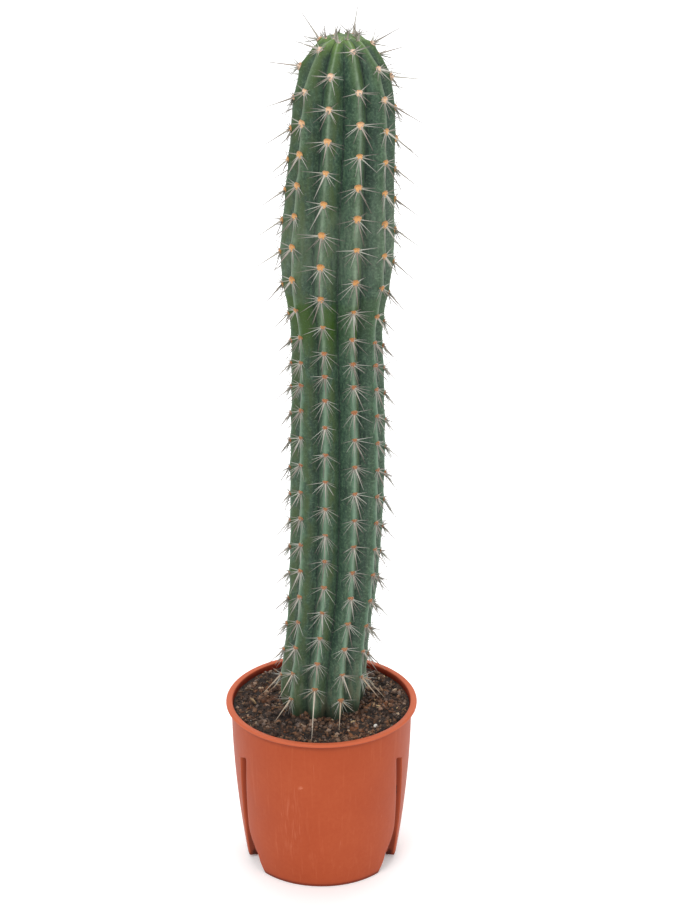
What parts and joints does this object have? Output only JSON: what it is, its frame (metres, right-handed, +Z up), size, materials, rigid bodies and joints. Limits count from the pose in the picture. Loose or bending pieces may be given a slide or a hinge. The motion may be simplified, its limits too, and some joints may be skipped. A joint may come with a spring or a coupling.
{
  "type": "potted columnar cactus",
  "caption": "Tall ribbed columnar cactus with spined areoles along its ribs, rooted in soil in a tapered terracotta-coloured plastic nursery pot with foot panels.",
  "frame": {"origin": "on the ground under the middle of the pot, which is the bottom centre of the whole part's box", "axes": "+Z up along the plant, -Y towards the front, where one foot panel of the pot faces, +X to the right"},
  "size_m": [0.19, 0.19, 0.8792],
  "materials": {
    "pot_plastic": "satin",
    "potting_soil": "matte",
    "cactus_skin": "matte"
  },
  "bodies": {
    "root": {"pot": "pot_plastic", "soil": "potting_soil", "cactus": "cactus_skin"}
  },
  "joints": []
}
